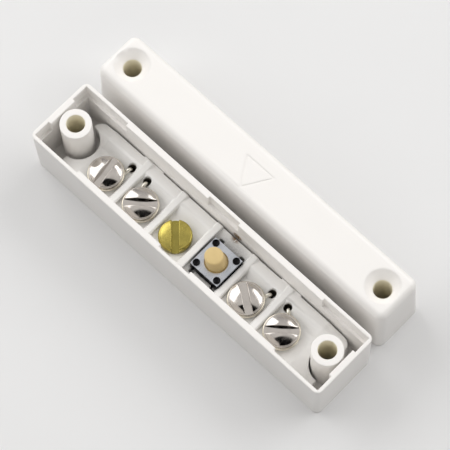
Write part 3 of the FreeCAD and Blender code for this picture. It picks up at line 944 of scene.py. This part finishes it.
def lead_route(loop_radius, screw, hole_x, run):
    """A wire's loop under its washer, its way to its hole and its run under the carrier, in mm."""
    side, bearing = LEAVING[screw]
    centre = node_centre(screw) / MM

    def beside(reach, turn):
        x, y = centre.x + reach * math.cos(turn), centre.y + reach * math.sin(turn)
        return Vector((x, y, LOOP_HEIGHT))

    exit_turn = math.radians(bearing)
    touch = exit_turn - side * math.acos(loop_radius / LEAVING_RADIUS)
    route = []
    for step in range(LOOP_STEPS + 1):
        wound = math.radians(LOOP_ANGLE * (1 - step / LOOP_STEPS))
        route.append(beside(loop_radius, touch - side * wound))
    leaving = beside(LEAVING_RADIUS, exit_turn)
    hole = Vector((hole_x, WIRE_HOLES_Y, LOOP_HEIGHT))
    corner = hole + (leaving - hole).normalized() * CORNER_OFFSET
    corner.z = CORNER_HEIGHT
    return route + [leaving, corner] + [Vector(point) for point in run]


def lead_routes(radius):
    """The four wires' routes in mm, with loops of this radius."""
    left, inner_left, inner_right, right = WIRE_HOLES_X
    far_leg, near_leg = TAMPER_LEGS_X
    return [
        lead_route(radius, "terminal_screw_1", left, [
            (left, WIRE_HOLES_Y, REED_HEIGHT), (left, REED_Y, REED_HEIGHT),
        ]),
        lead_route(radius, "terminal_screw_2", inner_left, [
            (inner_left, WIRE_HOLES_Y, RUN_HEIGHT),
            (REED_RIGHT_END, NEAR_RUN_Y, RUN_HEIGHT),
            (REED_RIGHT_END, REED_Y, REED_HEIGHT),
        ]),
        lead_route(radius, "terminal_screw_4", inner_right, [
            (inner_right, WIRE_HOLES_Y, RUN_HEIGHT), (near_leg, NEAR_RUN_Y, RUN_HEIGHT),
        ]),
        lead_route(radius, "terminal_screw_5", right, [
            (right, WIRE_HOLES_Y, RUN_HEIGHT),
            (FAR_RUN_START, FAR_RUN_Y, RUN_HEIGHT),
            (far_leg, FAR_RUN_Y, RUN_HEIGHT),
        ]),
    ]


class CONTACT_OT_tray(Operator):
    """Round the tray's edges and give it its glossy white plastic"""

    bl_idname = "contact.tray"
    bl_label = "Finish Tray"

    def execute(self, context):
        settings = context.scene.door_contact.moulding
        material = housing_plastic(settings, "tray_plastic", 0.25 * MM, TRAY_BORES_X, 0.0)
        mesh = mesh_from(merged_copy("switch_base"), "tray")
        piece = new_piece("tray", mesh, material, FIXED, ["switch_base"])
        rounded(piece, settings.edge_radius)
        return {"FINISHED"}


class CONTACT_OT_carrier(Operator):
    """Round the terminal carrier's edges and give it its satin plastic"""

    bl_idname = "contact.carrier"
    bl_label = "Finish Terminal Carrier"

    def execute(self, context):
        settings = context.scene.door_contact.moulding
        mesh = mesh_from(merged_copy("terminal_carrier"), "carrier")
        plastic = carrier_plastic(settings)
        piece = new_piece(
            "carrier", mesh, plastic, FIXED, ["terminal_carrier"]
        )
        holes = [(x * MM, WIRE_HOLES_Y * MM) for x in WIRE_HOLES_X]
        rounded(piece, settings.carrier_edge_radius, angle=50.0, kept=holes, reach=1.0 * MM)
        return {"FINISHED"}


class CONTACT_OT_magnet_unit(Operator):
    """Soften the magnet unit's edges, with a shallow triangle, and finish its plate and magnet"""

    bl_idname = "contact.magnet_unit"
    bl_label = "Finish Magnet Unit"

    def execute(self, context):
        settings = context.scene.door_contact.moulding
        middle = node_centre("magnet_housing")
        bores_x = (middle.x - MAGNET_BORE_REACH, middle.x + MAGNET_BORE_REACH)
        plastic = housing_plastic(settings, "magnet_plastic", 0.5 * MM, bores_x, middle.y)
        bm = merged_copy("magnet_housing")
        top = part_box("magnet_housing")[1].z
        for vert in bm.verts:
            in_groove = top - 0.4 * MM < vert.co.z < top - 0.1 * MM
            if in_groove and abs(vert.co.x) < TRIANGLE_REACH:
                vert.co.z = top - TRIANGLE_DEPTH
        mesh = mesh_from(bm, "magnet_case")
        mesh.set_sharp_from_angle(angle=math.radians(20))
        piece = new_piece(
            "magnet_case", mesh, plastic, FIXED, ["magnet_housing"]
        )
        normals = piece.modifiers.new("Flat Faces", "WEIGHTED_NORMAL")
        normals.keep_sharp = True
        paint(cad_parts["magnet_back_plate"], plastic)
        paint(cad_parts["bar_magnet"], sintered_magnet())
        return {"FINISHED"}


class CONTACT_OT_clamp_screws(Operator):
    """Set the slotted clamp screws and the washers at their terminals"""

    bl_idname = "contact.clamp_screws"
    bl_label = "Finish Clamp Screws"

    def execute(self, context):
        settings = context.scene.door_contact.screws
        nickel = bright_metal(
            "nickel_plate", tuple(settings.plate_colour), roughness=0.13, waves=0.018 * MM
        )
        plate = bright_metal(
            "washer_plate", tuple(settings.washer_colour), roughness=0.16, waves=0.02 * MM
        )
        head = plated_profile(settings, node_size(PLATED_SCREWS[0]).x / 2)
        master = screw_master(settings, head, PLATED_HEIGHT, settings.slot_depth, "plated_master")
        self.screws(master, PLATED_HEIGHT, PLATED_SCREWS, nickel, "nickel_plate", "plated_screws")
        brass = brass_metal(settings)
        head = turned_profile(settings, node_size(BRASS_SCREW).x / 2)
        master = screw_master(
            settings, head, BRASS_HEIGHT, settings.brass_slot_depth, "brass_master"
        )
        self.screws(master, BRASS_HEIGHT, (BRASS_SCREW,), brass, "brass", "brass_screw")
        self.washers(settings, plate)
        return {"FINISHED"}

    def screws(self, master, height, nodes, material, slot, name):
        """Sets a screw at each node, with its head's top where the node's is."""
        places = []
        for node in nodes:
            centre = node_centre(node)
            places.append((centre.x, centre.y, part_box(node)[1].z - height))
        turns = [(0.0, 0.0, math.radians(SLOT_TURNS[node])) for node in nodes]
        mesh = repeated("Clamp Screws", master, places, turns, material, name)
        new_piece(name, mesh, None, FIXED, nodes)

    def washers(self, settings, material):
        """Sets a washer at each node, a little lifted and leaning on its wire."""
        master = washer_master(settings)
        places = []
        turns = []
        for node in WASHERS:
            centre = node_centre(node)
            lift, lean = WASHER_LEANS[node]
            places.append((centre.x, centre.y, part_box(node)[0].z + lift * MM))
            turns.append(tuple(math.radians(angle) for angle in lean))
        mesh = repeated("Clamp Washers", master, places, turns, material, "clamp_washers")
        new_piece("clamp_washers", mesh, None, FIXED, WASHERS)


class CONTACT_OT_lead_wires(Operator):
    """Run the four tinned lead wires round their screws and down their holes"""

    bl_idname = "contact.lead_wires"
    bl_label = "Run Lead Wires"

    def execute(self, context):
        settings = context.scene.door_contact.wires
        tin = bright_metal(
            "tinned_wire",
            tuple(settings.tin_colour),
            roughness=0.3,
            waves=0.01 * MM,
            grain=0.002 * MM,
        )
        holder = routes_holder("wire_routes", lead_routes(settings.loop_radius / MM))
        values = {
            "Diameter": settings.diameter,
            "Bend Radius": settings.bend,
            "Bend Steps": BEND_STEPS,
            "Material": tin,
        }
        mesh = wire_tree().mesh(holder, values, "lead_wires")
        drop(holder)
        new_piece("lead_wires", mesh, None, FIXED, LEAD_WIRES)
        return {"FINISHED"}


class CONTACT_OT_tamper_switch(Operator):
    """Make the tamper switch's cover plate, sprung disc, pegs and cream button"""

    bl_idname = "contact.tamper_switch"
    bl_label = "Finish Tamper Switch"

    def execute(self, context):
        settings = context.scene.door_contact.tamper
        black = switch_black(settings)
        steel = sheet_metal(settings)
        strip = bright_metal(
            "terminal_metal", (0.74, 0.73, 0.71), roughness=0.25, waves=0.01 * MM
        )
        for node in ("tamper_terminal_left", "tamper_terminal_right"):
            paint(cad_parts[node], strip)
        self.spring(strip)
        paint(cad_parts["tamper_body"], black)
        plate = new_piece(
            "tamper_plate", mesh_from(merged_copy("tamper_cover_plate"), "tamper_plate"),
            steel, FIXED, ["tamper_cover_plate"],
        )
        rounded(plate, settings.plate_edge, steps=2)
        self.pegs(settings, black)
        self.button(settings)
        return {"FINISHED"}

    def spring(self, material):
        """The sprung disc under the button."""
        mesh = mesh_from(merged_copy("tamper_dome"), "tamper_spring")
        mesh.set_sharp_from_angle(angle=math.radians(30))
        disc = new_piece("tamper_spring", mesh, material, FIXED, ["tamper_dome"])
        foot = node_centre("tamper_dome")
        foot.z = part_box("tamper_dome")[0].z
        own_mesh(disc)

    def pegs(self, settings, material):
        """The pegs' tips, spread over the plate by a hot tool that leaves a dimple."""
        rim = settings.peg_diameter / 2
        edge = 0.09 * MM
        dimple = [(0.3 * MM, PEG_TIP_HEIGHT), (0.2 * MM, 0.09 * MM), (0.0, 0.07 * MM)]
        profile = [(0.0, 0.0), (rim, 0.0)]
        profile += arc(rim - edge, PEG_TIP_HEIGHT, edge, 0, 110, 4) + dimple
        bm = lathe(profile, PEG_STEPS, Vector((0, 0, 0)))
        master = holder_of("peg", mesh_from(bm, "peg"))
        middle = node_centre("tamper_cover_plate")
        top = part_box("tamper_cover_plate")[1].z
        sides = (-PEG_REACH, PEG_REACH)
        places = [(middle.x + x, middle.y + y, top) for x in sides for y in sides]
        turns = [(0.0, 0.0, 0.0)] * len(places)
        mesh = repeated("Peg Tips", master, places, turns, material, "peg_tips")
        new_piece("peg_tips", mesh, None, FIXED, [])

    def button(self, settings):
        """The cream button, which leans a little in the plate's hole."""
        centre = node_centre("tamper_plunger")
        low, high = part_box("tamper_plunger")
        plate_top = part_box("tamper_cover_plate")[1].z
        flange_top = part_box("tamper_cover_plate")[0].z
        edge = settings.button_edge
        flange = node_size("tamper_plunger").x / 2
        profile = [
            (0.0, low.z),
            (BUTTON_STEM_RADIUS, low.z),
            (BUTTON_STEM_RADIUS, flange_top - BUTTON_FLANGE),
            (flange, flange_top - BUTTON_FLANGE),
            (flange, flange_top),
            (BUTTON_FOOT_RADIUS + 0.02 * MM, flange_top),
            (BUTTON_FOOT_RADIUS, plate_top),
        ]
        crown = BUTTON_TIP_RADIUS - edge
        profile += arc(crown, high.z - edge - 0.05 * MM, edge, 0, 80, 6)
        for share in (0.3, 0.6, 0.8, 0.93):
            profile.append((crown * (1 - share), high.z - BUTTON_CROWN * (1 - share)))
        profile.append((0.0, high.z))
        bm = lathe(profile, TURNED_STEPS, centre)
        for vert in bm.verts:
            rise = max(0.0, (vert.co.z - plate_top) / (high.z - plate_top))
            if vert.co.z > flange_top:
                vert.co.x -= BUTTON_SHIFT + BUTTON_LEAN[0] * rise
            vert.co.y -= BUTTON_LEAN[1] * rise
        mesh = mesh_from(bm, "tamper_button")
        mesh.set_sharp_from_angle(angle=math.radians(45))
        cream = button_plastic(settings)
        new_piece("tamper_button", mesh, cream, BUTTON, ["tamper_plunger"])


class CONTACT_OT_inner_parts(Operator):
    """Finish the nuts and the reed switch, which the carrier hides"""

    bl_idname = "contact.inner_parts"
    bl_label = "Finish Inner Parts"

    def execute(self, context):
        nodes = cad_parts
        zinc = bright_metal(
            "nut_steel", (0.68, 0.68, 0.70), roughness=0.3, waves=0.01 * MM, grain=0.004 * MM
        )
        for index in range(1, 6):
            paint(nodes[f"terminal_nut_{index}"], zinc)
        iron = bright_metal(
            "reed_metal", (0.70, 0.68, 0.64), roughness=0.28, waves=0.005 * MM
        )
        paint(nodes["reed_blade_left"], iron)
        paint(nodes["reed_blade_right"], iron)
        paint(nodes["reed_capsule"], reed_glass())
        return {"FINISHED"}


def panel_lamp(name, azimuth, elevation, width, height, watts):
    """A soft panel round the object, upright and aimed at it."""
    data = bpy.data.lights.new(name, "AREA")
    data.shape = "RECTANGLE"
    data.size = width
    data.size_y = height
    data.energy = watts
    lamp = bpy.data.objects.new(name, data)
    tilt = Euler((0.0, -math.radians(elevation), math.radians(azimuth)))
    towards = tilt.to_matrix() @ Vector((LAMP_DISTANCE, 0.0, 0.0))
    lamp.location = towards + Vector(LAMP_AIM)
    lamp.rotation_euler = towards.to_track_quat("Z", "Y").to_euler()
    bpy.context.scene.collection.objects.link(lamp)


def floor_paper(base):
    """Pale paper that looks white, and throws less light back up than it shows."""
    finish = Finish("floor_paper", base, 0.8)
    finish.patches(30.0, 0.3, 0.7, 0.3, shaded(base, 0.985))
    finish.rough(finish.noise(200.0), 0.75, 0.9)
    light = finish.tree.nodes.new("ShaderNodeLightPath")
    seen = finish.math("MAXIMUM", light.outputs["Is Camera Ray"], light.outputs["Is Glossy Ray"])
    seen = finish.math("MAXIMUM", seen, light.outputs["Is Transmission Ray"])
    finish.blend(finish.math("SUBTRACT", 1.0, seen), shaded(base, FLOOR_REBOUND))
    return finish.done()


def studio_world(strength):
    """Soft light that fades towards the horizon, with a dark band behind the camera."""
    world = bpy.data.worlds.new("studio")
    world.use_nodes = True
    tree = world.node_tree
    direction = tree.nodes.new("ShaderNodeTexCoord").outputs["Generated"]
    band = tree.nodes.new("ShaderNodeMapping")
    band.vector_type = "TEXTURE"
    band.inputs["Location"].default_value = BAND_PLACE
    band.inputs["Rotation"].default_value = (0.0, 0.0, math.radians(BAND_TURN))
    band.inputs["Scale"].default_value = BAND_SIZE
    reach = tree.nodes.new("ShaderNodeVectorMath")
    reach.operation = "LENGTH"
    fade = tree.nodes.new("ShaderNodeMapRange")
    fade.interpolation_type = "SMOOTHSTEP"
    fade.inputs["From Min"].default_value, fade.inputs["From Max"].default_value = BAND_FADE
    mix = tree.nodes.new("ShaderNodeMix")
    mix.data_type = "RGBA"
    mix.inputs["A"].default_value = (*BAND_COLOUR, 1.0)
    split = tree.nodes.new("ShaderNodeSeparateXYZ")
    height = tree.nodes.new("ShaderNodeMapRange")
    height.inputs["To Min"].default_value = HORIZON_LIGHT
    ceiling = tree.nodes.new("ShaderNodeMix")
    ceiling.data_type = "RGBA"
    ceiling.inputs["A"].default_value = (0.0, 0.0, 0.0, 1.0)
    ceiling.inputs["B"].default_value = (*CEILING_COLOUR, 1.0)
    tree.links.new(direction, split.inputs[0])
    tree.links.new(split.outputs["Z"], height.inputs["Value"])
    tree.links.new(height.outputs["Result"], ceiling.inputs["Factor"])
    tree.links.new(ceiling.outputs["Result"], mix.inputs["B"])
    tree.links.new(direction, band.inputs["Vector"])
    tree.links.new(band.outputs["Vector"], reach.inputs[0])
    tree.links.new(reach.outputs["Value"], fade.inputs["Value"])
    tree.links.new(fade.outputs["Result"], mix.inputs["Factor"])
    tree.links.new(mix.outputs["Result"], tree.nodes["Background"].inputs["Color"])
    tree.nodes["Background"].inputs["Strength"].default_value = strength
    return world


class CONTACT_OT_stage(Operator):
    """Lay the pale floor and set the lamps and the camera"""

    bl_idname = "contact.stage"
    bl_label = "Set Stage"

    def execute(self, context):
        settings = context.scene.door_contact.stage
        scene = context.scene
        bm = bmesh.new()
        bmesh.ops.create_grid(bm, x_segments=1, y_segments=1, size=2.0)
        floor = holder_of("floor", mesh_from(bm, "floor"))
        paint(floor, floor_paper(tuple(settings.floor_colour)))
        for name, place in LAMPS.items():
            panel_lamp(name, *place, getattr(settings, name))
        scene.world = studio_world(settings.sky)
        camera_data = bpy.data.cameras.new("camera")
        camera_data.lens = CAMERA_LENS
        camera_data.sensor_width = 36.0
        camera_data.clip_start = 0.01
        camera = bpy.data.objects.new("camera", camera_data)
        camera.location = CAMERA_PLACE
        camera.rotation_euler = Euler([math.radians(turn) for turn in CAMERA_TURNS], "XYZ")
        scene.collection.objects.link(camera)
        scene.camera = camera
        scene.view_settings.view_transform = "Standard"
        return {"FINISHED"}


class CONTACT_PT_panel(Panel):
    """Settings and steps of the door contact"""

    bl_idname = "CONTACT_PT_panel"
    bl_label = "Door Contact"
    bl_space_type = "VIEW_3D"
    bl_region_type = "UI"
    bl_category = "Door Contact"

    def draw(self, context):
        settings = context.scene.door_contact
        mouldings = ("contact.tray", "contact.carrier", "contact.magnet_unit")
        groups = {
            "Mouldings": (settings.moulding, mouldings),
            "Clamp Screws": (settings.screws, ("contact.clamp_screws",)),
            "Lead Wires": (settings.wires, ("contact.lead_wires",)),
            "Tamper Switch": (settings.tamper, ("contact.tamper_switch", "contact.inner_parts")),
            "Stage": (settings.stage, ("contact.stage",)),
        }
        for title, (group, steps) in groups.items():
            box = self.layout.box()
            box.label(text=title)
            for name in group.bl_rna.properties.keys():
                if name not in {"rna_type", "name"}:
                    box.prop(group, name)
            for step in steps:
                box.operator(step)


SETTINGS = (
    MouldingSettings,
    ScrewSettings,
    WireSettings,
    TamperSettings,
    StageSettings,
    DoorContactSettings,
)
STEPS = (
    CONTACT_OT_tray,
    CONTACT_OT_carrier,
    CONTACT_OT_magnet_unit,
    CONTACT_OT_clamp_screws,
    CONTACT_OT_lead_wires,
    CONTACT_OT_tamper_switch,
    CONTACT_OT_inner_parts,
    CONTACT_OT_stage,
)


def register():
    for group in (*SETTINGS, *STEPS, CONTACT_PT_panel):
        bpy.utils.register_class(group)
    bpy.types.Scene.door_contact = PointerProperty(type=DoorContactSettings)


def unregister():
    del bpy.types.Scene.door_contact
    for group in reversed((*SETTINGS, *STEPS, CONTACT_PT_panel)):
        bpy.utils.unregister_class(group)


def main():
    register()
    bpy.ops.contact.tray()
    bpy.ops.contact.carrier()
    bpy.ops.contact.magnet_unit()
    bpy.ops.contact.clamp_screws()
    bpy.ops.contact.lead_wires()
    bpy.ops.contact.tamper_switch()
    bpy.ops.contact.inner_parts()
    bpy.ops.contact.stage()


if __name__ == "__main__":
    main()
